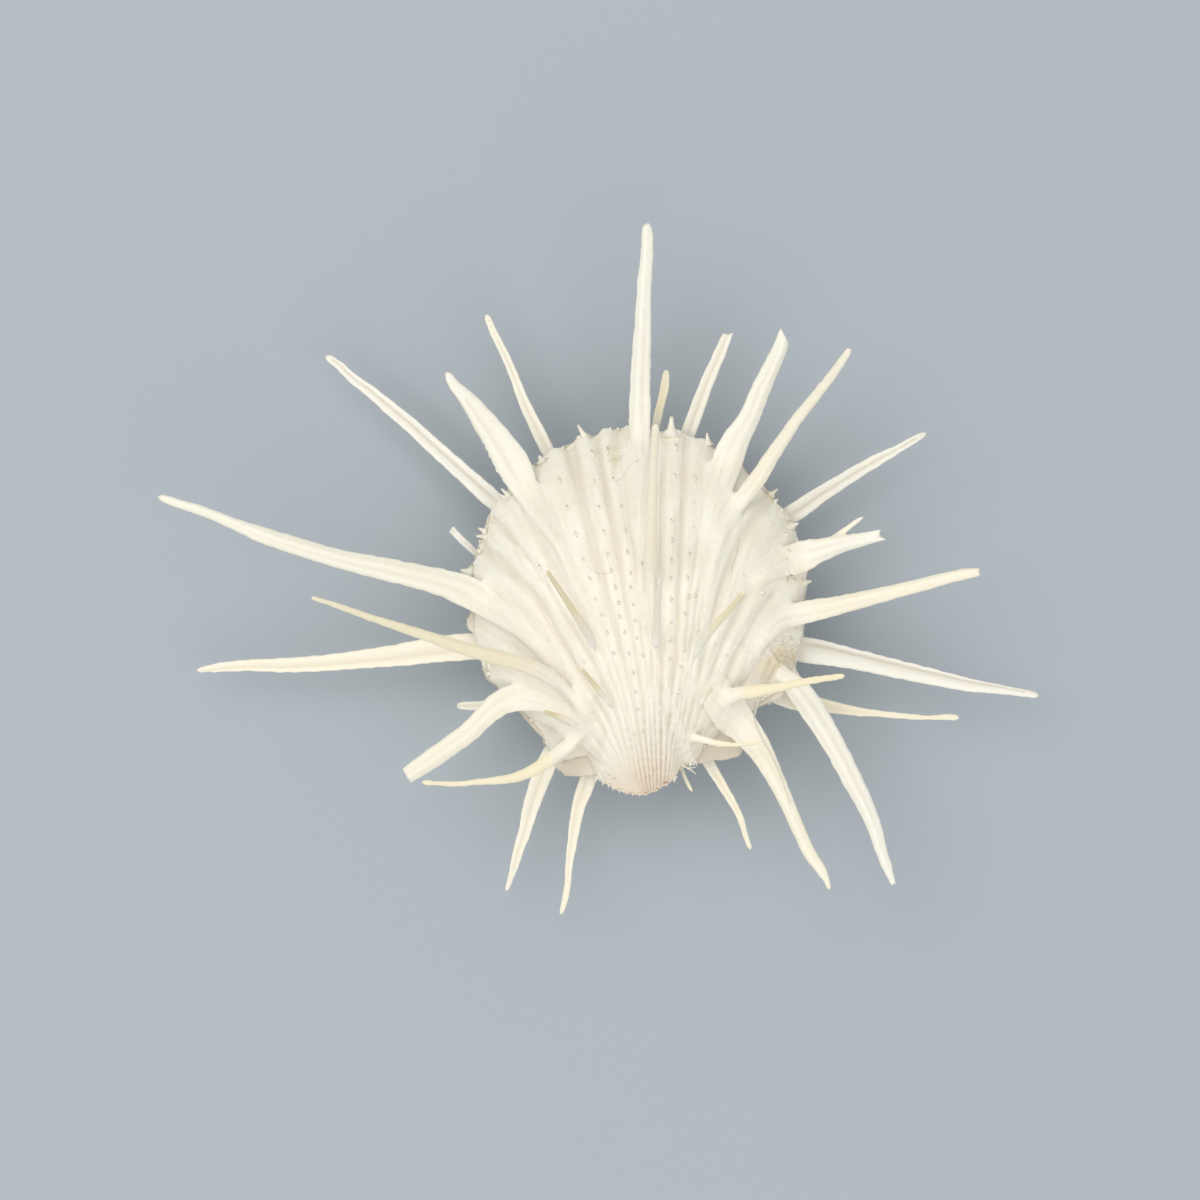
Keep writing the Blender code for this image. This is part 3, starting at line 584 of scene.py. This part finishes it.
def applied(thing):
    """Return the points and faces of an object as its modifiers leave it, and remove it."""
    ready = thing.evaluated_get(bpy.context.evaluated_depsgraph_get())
    mesh = bpy.data.meshes.new_from_object(ready)
    points = np.empty(len(mesh.vertices) * 3, np.float32)
    mesh.vertices.foreach_get("co", points)
    corners = np.empty(len(mesh.loops), np.int32)
    mesh.loops.foreach_get("vertex_index", corners)
    sizes = np.empty(len(mesh.polygons), np.int32)
    mesh.polygons.foreach_get("loop_total", sizes)
    old = thing.data
    bpy.data.objects.remove(thing)
    bpy.data.meshes.remove(old)
    bpy.data.meshes.remove(mesh)
    width = int(sizes[0])
    if not (sizes == width).all():
        raise ValueError("the faces have different numbers of corners")
    return points.reshape(-1, 3).astype(float) / MM, corners.reshape(-1, width)


def face_sides(faces):
    """Return the two points at the ends of each side of each face."""
    ahead = np.concatenate([faces[:, i] for i in range(faces.shape[1])])
    behind = np.concatenate([faces[:, i - 1] for i in range(faces.shape[1])])
    return ahead, behind


def relax(points, faces, weight, rounds):
    """Move points towards the middle of their neighbours, by a weight for each point."""
    ahead, behind = face_sides(faces)
    count = np.bincount(ahead, minlength=len(points)) + np.bincount(behind, minlength=len(points))
    for _ in range(rounds):
        for axis in range(3):
            value = points[:, axis]
            total = (np.bincount(ahead, value[behind], len(points))
                     + np.bincount(behind, value[ahead], len(points)))
            points[:, axis] = value + weight * (total / count - value)


def normals(points, faces):
    """Return the unit normal at each point."""
    a, b, c, last = [points[faces[:, i]] for i in (0, 1, 2, -1)]
    flat = np.cross(c - a, last - b) if faces.shape[1] == 4 else np.cross(b - a, c - a)
    result = np.zeros_like(points)
    for i in range(faces.shape[1]):
        for axis in range(3):
            result[:, axis] += np.bincount(faces[:, i], flat[:, axis], len(points))
    return result / np.maximum(np.linalg.norm(result, axis=1), 1e-9)[:, None]


def rib_relief(valve, x, y):
    """Return the height of ribs, grooves and growth lines, and how deep the grooves are."""
    share, place, spacing, reach, turn = valve.ribbing(x, y)
    at_beak = ease(24.0 - reach, 0.0, 14.0)
    depth = np.clip((0.10 + 0.14 * at_beak) * spacing, 0.2 * at_beak, 0.45)
    if valve.side > 0:
        depth *= 1.0 + at_beak * (np.interp(place, *zip(*BEAK_RIBS)) - 1.0)
    groove = np.exp(-((share - 0.5) / 0.17) ** 2)
    relief = depth * (0.3 * np.cos(2 * math.pi * share) - 0.8 * groove)
    places = np.stack((x, y), axis=1)
    wander = smooth_noise(places, 12.0, 5)
    relief += 0.022 * np.cos(2 * math.pi * (3 * share + 0.4 * wander)) * ease(spacing, 1.5, 4.0)
    inside = valve.inside(x, y)
    outward = 1.0 - inside / DISC_RADIUS
    rings = reach + 0.5 * smooth_noise(places, 7.0, 6)
    relief += 0.022 * np.sin(2 * math.pi * rings / 1.9) * ease(outward, 0.1, 0.9)
    relief += 0.05 * wander * ease(outward, 0.0, 0.6)
    relief += 0.02 * streaks(turn / 1.6, reach / 14.0, 88)
    if valve.side < 0:
        leaf = np.mod(inside / 4.5 + 0.15 * wander, 1.0)
        relief += 0.5 * leaf ** 3 * ease(inside, 2.0, 6.0)
    return relief, groove * depth


def streaks(across, along, seed):
    """Return fine lengthwise streaks between about -1 and 1."""
    return smooth_noise(np.stack((across, along), axis=1), 1.0, seed)


def search_tree(samples):
    """Return a tree that finds the sample nearest to a point."""
    tree = kdtree.KDTree(len(samples))
    for i, sample in enumerate(samples):
        tree.insert(sample, i)
    tree.balance()
    return tree


def nearest_spine(points, samples):
    """Return for each point the index and distance of the nearest spine sample."""
    tree = search_tree(samples)
    index, distance = zip(*[tree.find(point)[1:] for point in points])
    return np.array(index), np.array(distance)


def carve(valve, points, faces, spines):
    """Smooth the fused skin in place, most at the spines' roots, and raise its relief."""
    centres, widths, free = spines[:3]
    index, distance = nearest_spine(points, centres)
    near = 1.0 - ease(distance / np.maximum(widths[index], 1.2), 0.5, 1.4)
    x, y, z = points.T
    over = (z - SEAM_HEIGHT) * valve.side
    dome = valve.dome(x, y)
    skin = 1.0 - ease(np.abs(over - dome), 1.2, 2.6)
    outside = over > 0.6 * dome - 0.2
    junction = near * (1.0 - 0.8 * free[index]) * outside * ease(over, 0.8, 2.2)
    relax(points, faces, np.full(len(points), 0.5), 3)
    relax(points, faces, 0.5 * near * free[index], 4)
    relax(points, faces, 0.6 * junction, 55)
    x, y, z = points.T
    on_dome = skin * outside * ease(valve.inside(x, y), -1.0, 0.5) * (1.0 - near * free[index])
    relief, _ = rib_relief(valve, x, y)
    relief = relief * (0.25 + 0.75 * (1.0 - near))
    rough = smooth_noise(points, 2.6, 31) * 0.02 + smooth_noise(points, 1.1, 32) * 0.008
    rough += crust_share(valve, x, y) * on_dome * (0.16 * smooth_noise(points, 2.4, 33)
                                                  + 0.10 * smooth_noise(points, 1.0, 34))
    points += normals(points, faces) * (on_dome * relief + rough)[:, None]


def build_valve(name, valve, rows, first_seed):
    """Build one valve's fused skin with its fine pieces, and the masks for its material."""
    shape = Shape()
    shape.add_tube(valve.wall())
    lines = [add_spine(shape, valve, row, first_seed + 10 * i) for i, row in enumerate(rows)]
    spines = [np.concatenate(parts) for parts in zip(*lines)]
    points, faces = remeshed(shape, name)
    rest_on_ground(valve, points)
    carve(valve, points, faces, spines)
    rest_on_ground(valve, points)
    points, faces = thinned(points, faces, name)
    whole = Shape()
    whole.add(points, faces)
    tips = [np.zeros(len(points))]
    tree = bvhtree.BVHTree.FromPolygons(points.tolist(), faces.tolist())
    add_fine_pieces(whole, tips, valve, tree, *spines[:2])
    tips = np.concatenate(tips)
    # painted shade in the narrow hollows of the skin; the fine pieces get none
    hollow_shade = np.zeros(len(tips))
    hollow_shade[:len(points)] = hollows(points, faces)
    return whole, shading_masks(valve, np.concatenate(whole.points), spines, tips, hollow_shade)


def rest_on_ground(valve, points):
    """Flatten what reaches below the ground: the scar under the lower valve."""
    if valve.side < 0:
        x, y, z = points.T
        rough = 0.25 + 0.2 * smooth_noise(np.stack((x, y), axis=1), 3.0, 77)
        points[:, 2] = np.maximum(z, np.clip(rough, 0.0, SCAR_DEPTH) * (z < SCAR_DEPTH))


def hollows(points, faces):
    """Return how deep in a narrow hollow each point is, from 0 to 1."""
    ahead, behind = face_sides(faces)
    starts = np.concatenate((ahead, behind))
    ends = np.concatenate((behind, ahead))
    count = np.bincount(starts, minlength=len(points))

    def mean(values):
        """Return the mean of the values of a point's sides."""
        return np.bincount(starts, values, len(points)) / count

    middle = np.stack([mean(points[ends, axis]) for axis in range(3)], axis=1)
    depth = ((middle - points) * normals(points, faces)).sum(axis=1)
    size = mean(np.linalg.norm(points[ends] - points[starts], axis=1))
    bend = depth / np.maximum(size, 0.05) ** 2
    for _ in range(6):
        bend = 0.5 * bend + 0.5 * mean(bend[ends])
    return ease(bend, 0.02, 0.5)


def spot(x, y, middle, size):
    """Return a soft oval spot in plan: 1 at its middle and 0 well outside its size."""
    return np.exp(-(((x - middle[0]) / size[0]) ** 2 + ((y - middle[1]) / size[1]) ** 2) ** 1.5)


def crust_share(valve, x, y):
    """Return how much rough crust lies on the upper valve's right side at points in plan."""
    if valve.side < 0:
        return np.zeros(len(x))
    low = spot(x, y, (27.4, -12.6), (4.6, 5.2))
    high = 0.35 * spot(x, y, (30.6, 9.5), (3.0, 10.0))
    return np.maximum(low, high)


def add_cone(shape, tips, base, way, length, radius, stretch=1.0, run=None, dark=1.0, corners=7,
             flare=1.3):
    """Add a small closed spike whose blunt end is dark, and whose root is sunk.

    It is stretched across the run, the direction in which its section is long.
    """
    way = np.array(way, dtype=float)
    way /= np.linalg.norm(way)
    if run is None:
        run = np.array((0.3, 0.2, 0.9))
    first = run - way * (run @ way)
    first /= np.linalg.norm(first)
    second = np.cross(way, first)
    turn = np.arange(corners) * 2 * math.pi / corners
    ring = np.cos(turn)[:, None] * first * stretch + np.sin(turn)[:, None] * second
    rings = []
    shade = []
    for share, size, tone in ((-0.5, flare, 0.0), (0.1, 1.0, 0.0), (0.6, 0.62, 0.25),
                              (1.0, 0.42, 1.0)):
        rings.append(base + way * (share * length) + ring * (size * radius))
        shade.append(np.full(corners, tone * dark))
    shape.add_tube(np.array(rings))
    tips.append(np.concatenate(shade + [np.array((0.0, dark))]))


def drop(tree, x, y, side=1):
    """Return where a plumb line at a point in plan meets the skin, and its normal there."""
    place, normal, _, _ = tree.ray_cast((x, y, 100.0 * side), (0.0, 0.0, -side))
    if place is None:
        return None, None
    return np.array(place), np.array(normal)


def add_fine_pieces(shape, tips, valve, tree, centres, widths):
    """Add the scales on the ribs, the margin's teeth, the flakes, the threads and the hooks."""
    rng = np.random.default_rng(404 + valve.side)
    add_scales(shape, tips, valve, tree, centres, widths, rng)
    add_margin_teeth(shape, tips, valve, rng)
    if valve.side > 0:
        add_crust_flakes(shape, tips, valve, tree, rng)
        for radius, tone, thread in THREADS:
            add_thread(shape, tips, tree, thread, radius, tone)
        for hook in HOOKS:
            add_wire(shape, tips, smooth_line(hook, 16), 0.17, 0.0)


def add_scales(shape, tips, valve, tree, centres, widths, rng):
    """Set a row of small hollow scales on each rib, closer together towards the beak."""
    spine_tree = search_tree(centres)
    for number, rib in enumerate(valve.ribs):
        line = smooth_line([(x, y, 0.0) for x, y in rib], 200)
        gone = rng.uniform(1.0, 3.0)
        for before, here in zip(line[:-1], line[1:]):
            gone -= math.hypot(here[0] - before[0], here[1] - before[1])
            if gone > 0.0:
                continue
            outward = 1.0 - float(valve.inside(here[0], here[1])) / DISC_RADIUS
            gone = 2.8 + 2.8 * max(outward, 0.0) + rng.uniform(-0.6, 0.8)
            sparse = SCALE_ROWS.get(number, 0.68) if valve.side > 0 else 0.85
            if here[1] < -14.0 and number != 9:
                sparse = 0.85
            if outward > 0.97 or here[1] < -28.0 or rng.random() < sparse:
                continue
            place, normal = drop(tree, here[0] + rng.normal() * 0.15, here[1], valve.side)
            if place is None:
                continue
            _, index, distance = spine_tree.find(place)
            if distance < 0.62 * widths[index] + 0.3 or place[2] < 2.0:
                continue
            run = np.append(before[:2] - here[:2], 0.0)
            run /= np.linalg.norm(run)
            length = rng.uniform(0.35, 0.55) + 0.4 * max(outward, 0.0) ** 3
            radius = rng.uniform(0.22, 0.30)
            long = rng.uniform(1.1, 1.6) + 3.6 * ease(outward, 0.6, 0.95) * rng.uniform(0.4, 1.0)
            tone = rng.uniform(0.5, 1.15) * (0.2 + 0.8 * ease(here[1], -16.0, 10.0))
            if number not in SCALE_ROWS:
                tone *= 0.45
                long *= 0.8
            # The scale is a closed spike; its dark blunt end is painted shade standing for the hollow
            # opening.
            add_cone(shape, tips, place, normal * 0.9 + run * 0.5, length, radius, long, run, tone)


def add_margin_teeth(shape, tips, valve, rng):
    """Set uneven small teeth all round the margin, and finer ones round the beak."""
    teeth = [(-68 + 7.9 * (number + rng.uniform(0.1, 0.9)), rng.uniform(0.0, 0.3),
              rng.uniform(0.2, 0.4)) for number in range(40)]
    plain = len(teeth)
    if valve.side > 0:
        teeth += UPPER_TEETH
    for number, (angle, length, radius) in enumerate(teeth):
        turn = math.radians(angle)
        reach = float(valve.radius(angle)) - 0.35
        at_beak = ease(-math.sin(turn), 0.86, 0.96)
        height = 0.3 + rng.uniform(0.0, 0.5) + at_beak * rng.uniform(0.0, 0.6)
        base = np.array((DISC_CENTRE[0] + reach * math.cos(turn),
                         DISC_CENTRE[1] + reach * math.sin(turn), valve.level(height)))
        lean = rng.normal() * 0.25
        way = (math.cos(turn + lean), math.sin(turn + lean), valve.side * rng.uniform(0.0, 0.5))
        add_cone(shape, tips, base, way, length + 0.3, radius * (1 + 0.25 * length), dark=0.1,
                 flare=1.6 if number < plain else 3.0, corners=9)


def add_crust_flakes(shape, tips, valve, tree, rng):
    """Scatter flat broken flakes and pale grains over the rough right side and by the beak."""
    for area, (count, middle, spread) in enumerate(FLAKES):
        at_beak = area == len(FLAKES) - 1
        for _ in range(count):
            x, y = rng.normal(middle, spread)
            if valve.inside(x, y) < 0.2 or (x > 28.0 and y < -13.0):
                continue
            place, normal = drop(tree, x, y)
            if place is None:
                continue
            way = normal + rng.normal(size=3) * 0.4
            dark = rng.uniform(0.1, 0.7) if at_beak else rng.choice((0.0, 0.0, 0.0, 0.15))
            add_cone(shape, tips, place, way, rng.uniform(0.12, 0.35), rng.uniform(0.12, 0.4),
                     rng.uniform(1.0, 2.2), rng.normal(size=3), dark, 5)


def add_thread(shape, tips, tree, thread, radius, tone):
    """Lay a thin line on the skin along points in plan."""
    places = []
    for x, y, _ in smooth_line([(x, y, 0.0) for x, y in thread], 24):
        place, normal = drop(tree, x, y)
        if place is not None:
            places.append(place + normal * 0.02)
    add_wire(shape, tips, np.array(places), radius, tone)


def add_wire(shape, tips, places, radius, tone):
    """Add a thin round wire along points in space."""
    sides = 6
    turn = np.arange(sides) * 2 * math.pi / sides
    runs = np.gradient(places, axis=0)
    runs /= np.linalg.norm(runs, axis=1)[:, None]
    sideways = np.cross(runs, (0.0, 0.0, 1.0))
    up = np.cross(sideways, runs)
    size = radius * (1.0 - 0.6 * np.linspace(0.0, 1.0, len(places)))[:, None, None]
    rings = (places[:, None, :] + size * (np.cos(turn)[None, :, None] * sideways[:, None, :]
                                          + np.sin(turn)[None, :, None] * up[:, None, :]))
    shape.add_tube(rings)
    tips.append(np.full(len(places) * sides + 2, tone))


def shading_masks(valve, points, spines, tips, hollow_shade):
    """Return the named shares that the material reads at each point."""
    centres, *rest = spines
    index, distance = nearest_spine(points, centres)
    width, free, cream, sideways, up, keel = [values[index] for values in rest]
    near = 1.0 - ease(distance / np.maximum(width, 1.0), 0.55, 1.3)
    clear = 1.0 - near
    offset = points - centres[index]
    across = (offset * sideways).sum(axis=1) / width
    under = 1.0 - ease((offset * up).sum(axis=1) / thickness(width), 0.16, 0.24)
    # Painted shade along the spines: a dark line at the gutter's bottom on the underside, grey bands
    # beside the keel on the back, and darker edges.
    line = np.exp(-((across - keel) / 0.09) ** 2)
    beside = np.exp(-((np.abs(across - keel) - 0.19) / 0.08) ** 2) * ease(width, 2.0, 4.5)
    edge = ease(np.abs(across), 0.38, 0.52)
    crease_shade = under * line + 0.4 * (1.0 - under) * beside + 0.25 * edge
    x, y, z = points.T
    _, groove = rib_relief(valve, x, y)
    _, _, _, reach, turn = valve.ribbing(x, y)
    outside = (z - SEAM_HEIGHT) * valve.side > 0.6 * valve.dome(x, y) - 0.2
    on_upper = 1.0 if valve.side > 0 else 0.4
    streak = (near * streaks(4.0 * across + 0.37 * keel, index * STATION / 12.0, 89)
              + clear * streaks(turn / 1.6, reach / 14.0, 88))
    return {"cream": near * cream,
            "beak": on_upper * (1.0 - ease(np.hypot((x - 1.8) * 0.9, y + 40.0), 2.0, 13.0)),
            "crust": crust_share(valve, x, y) * clear,
            "stain": spot(x, y, (-4.2, 28.0), (1.8, 4.4)) * on_upper * clear,
            "streak": 0.5 + 0.4 * streak,
            # painted shade together with the lower valve's own beige tone, on its bare surface away
            # from the spines
            "lower_shade_and_tone": clear * (valve.side < 0),
            # groove: the rib grooves, which get painted shade everywhere, and at the beak also their
            # own peach lines
            "groove": ease(groove, 0.02, 0.3) * clear * outside,
            # tip: painted shade at the scales' ends, and the own darker tone of the other pieces and
            # the most cream spines
            "tip": tips + 0.5 * near * np.maximum(cream - 1.0, 0.0),
            "hollow_shade": hollow_shade * (1.0 - near * free),
            "crease_shade": near * free * ease(width, 0.9, 2.0) * (1.0 - 0.7 * cream) * crease_shade,
            "spine": near * free}


def shell_material(name, tint):
    """Make the porcelain-like shell: paints laid over one another by the masks, and grain."""
    material = bpy.data.materials.new(name)
    material.use_nodes = True
    nodes = material.node_tree.nodes
    links = material.node_tree.links
    shader = nodes["Principled BSDF"]

    def share_of(mask):
        node = nodes.new("ShaderNodeAttribute")
        node.attribute_name = mask
        return node.outputs["Fac"]

    def noise(scale, detail=3.0):
        place = nodes.new("ShaderNodeTexCoord")
        node = nodes.new("ShaderNodeTexNoise")
        node.inputs["Scale"].default_value = scale
        node.inputs["Detail"].default_value = detail
        links.new(place.outputs["Object"], node.inputs["Vector"])
        return node.outputs["Fac"]

    def remap(value, low, high, to_low=0.0, to_high=1.0):
        node = nodes.new("ShaderNodeMapRange")
        node.interpolation_type = "SMOOTHSTEP"
        for socket, number in zip(("From Min", "From Max", "To Min", "To Max"),
                                  (low, high, to_low, to_high)):
            node.inputs[socket].default_value = number
        links.new(value, node.inputs["Value"])
        return node.outputs["Result"]

    def times(a, b):
        node = nodes.new("ShaderNodeMath")
        node.operation = "MULTIPLY"
        links.new(a, node.inputs[0])
        if isinstance(b, float):
            node.inputs[1].default_value = b
        else:
            links.new(b, node.inputs[1])
        return node.outputs["Value"]

    def blend(base, colour, amount):
        node = nodes.new("ShaderNodeMix")
        node.data_type = "RGBA"
        links.new(amount, node.inputs["Factor"])
        if isinstance(base, tuple):
            node.inputs["A"].default_value = (*base, 1.0)
        else:
            links.new(base, node.inputs["A"])
        node.inputs["B"].default_value = (*colour, 1.0)
        return node.outputs["Result"]

    layers = [((0.87, 0.81, 0.67), remap(noise(90.0), 0.35, 0.75, 0.0, 0.6)),
              ((0.80, 0.73, 0.58), remap(share_of("streak"), 0.35, 1.0, 0.0, 0.35)),
              # painted shade: the rib grooves darkened as if shadowed
              ((0.68, 0.61, 0.48), times(share_of("groove"), 0.40)),
              # painted shade mixed with the lower valve's own beige tone
              ((0.60, 0.54, 0.43), times(share_of("lower_shade_and_tone"), 0.80)),
              ((0.93, 0.92, 0.87), times(share_of("spine"), 0.60)),
              # painted shade: dark crease lines, keel bands and edges on the spines
              ((0.36, 0.30, 0.20), times(share_of("crease_shade"), 0.52)),
              ((0.97, 0.86, 0.58), times(share_of("cream"), 0.80)),
              ((0.92, 0.74, 0.56), times(share_of("beak"), 0.62)),
              ((0.62, 0.38, 0.20), times(times(share_of("beak"), share_of("groove")), 0.95)),
              # painted shade: darker in narrow hollows
              ((0.50, 0.42, 0.30), times(share_of("hollow_shade"), 0.35)),
              ((0.78, 0.66, 0.44), times(share_of("crust"), remap(noise(260.0), 0.2, 0.6, 0.35, 0.8))),
              ((0.66, 0.60, 0.36), times(share_of("stain"), remap(noise(300.0), 0.4, 0.65, 0.0, 0.7))),
              # dark ends: painted shade in the scales' openings, and own colour on teeth, flakes,
              # threads and upright spines
              ((0.36, 0.30, 0.20), times(share_of("tip"), 0.75))]
    colour = tint
    for paint, share in layers:
        colour = blend(colour, paint, share)
    links.new(colour, shader.inputs["Base Color"])
    rough = remap(noise(700.0), 0.3, 0.7, 0.36, 0.52)
    links.new(rough, shader.inputs["Roughness"])
    bump = nodes.new("ShaderNodeBump")
    bump.inputs["Strength"].default_value = 0.35
    bump.inputs["Distance"].default_value = 0.0002
    links.new(noise(1500.0, 4.0), bump.inputs["Height"])
    links.new(bump.outputs["Normal"], shader.inputs["Normal"])
    shader.inputs["Subsurface Weight"].default_value = 0.12
    shader.inputs["Subsurface Radius"].default_value = (1.0, 0.8, 0.5)
    shader.inputs["Subsurface Scale"].default_value = 0.001
    shader.inputs["Specular IOR Level"].default_value = 0.4
    return material


def add_piece(name, node, shape, masks, material):
    """Make the visible piece that stands for a valve's solid."""
    mesh = shape.mesh(name)
    for mask, values in masks.items():
        layer = mesh.attributes.new(mask, "FLOAT", "POINT")
        layer.data.foreach_set("value", np.asarray(values, np.float32))
    mesh.shade_smooth()
    mesh.materials.append(material)
    piece = bpy.data.objects.new(name, mesh)
    bpy.context.scene.collection.objects.link(piece)
    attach(piece, "root")
    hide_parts(node)


def add_floor():
    """Lay a plain pale floor under the shell."""
    half = 3.0
    mesh = bpy.data.meshes.new("floor")
    mesh.from_pydata([(-half, -half, 0), (half, -half, 0), (half, half, 0), (-half, half, 0)],
                     [], [(0, 1, 2, 3)])
    floor = bpy.data.objects.new("floor", mesh)
    material = bpy.data.materials.new("floor")
    material.use_nodes = True
    shader = material.node_tree.nodes["Principled BSDF"]
    shader.inputs["Base Color"].default_value = (0.42, 0.47, 0.51, 1.0)
    shader.inputs["Roughness"].default_value = 0.9
    mesh.materials.append(material)
    bpy.context.scene.collection.objects.link(floor)


def add_light(name, place, size, power, colour):
    """Hang a square soft light that faces the shell."""
    lamp = bpy.data.lights.new(name, "AREA")
    lamp.size = size
    lamp.energy = power
    lamp.color = colour
    thing = bpy.data.objects.new(name, lamp)
    thing.location = place
    aim = -thing.location
    thing.rotation_euler = aim.to_track_quat("-Z", "Y").to_euler()
    bpy.context.scene.collection.objects.link(thing)


def add_studio():
    """Set the lights, the sky and the camera straight above, as in the photograph."""
    add_light("key", (-0.55, 0.45, 1.3), 1.2, 9.3, (1.0, 0.985, 0.95))
    add_light("fill", (0.35, -0.7, 1.3), 1.3, 7.1, (1.0, 0.99, 0.97))
    world = bpy.data.worlds.new("studio")
    world.use_nodes = True
    world.node_tree.nodes["Background"].inputs["Color"].default_value = (1.0, 1.0, 1.0, 1.0)
    world.node_tree.nodes["Background"].inputs["Strength"].default_value = 0.54
    bpy.context.scene.world = world
    bpy.context.scene.view_settings.view_transform = "Standard"
    width_seen = 0.240
    distance = 3.0
    lens = bpy.data.cameras.new("camera")
    lens.sensor_width = 36.0
    lens.lens = lens.sensor_width * distance / width_seen
    lens.clip_end = 20.0
    camera = bpy.data.objects.new("camera", lens)
    camera.location = (-0.008, 0.0, SEAM_HEIGHT * MM + distance)
    bpy.context.scene.collection.objects.link(camera)
    bpy.context.scene.camera = camera


def main():
    """Build both valves and the studio."""
    upper = Valve(UPPER_RIM, UPPER_RIBS, UPPER_RISE, 1)
    lower = Valve(LOWER_RIM, LOWER_RIBS, LOWER_DEPTH, -1)
    shape, masks = build_valve("upper_shell", upper, UPPER_SPINES, 1000)
    add_piece("upper_shell", "upper_valve", shape, masks,
              shell_material("upper_shell", (0.96, 0.92, 0.80)))
    shape, masks = build_valve("lower_shell", lower, LOWER_SPINES, 2000)
    add_piece("lower_shell", "lower_valve", shape, masks,
              shell_material("lower_shell", (0.95, 0.91, 0.81)))
    add_floor()
    add_studio()


main()
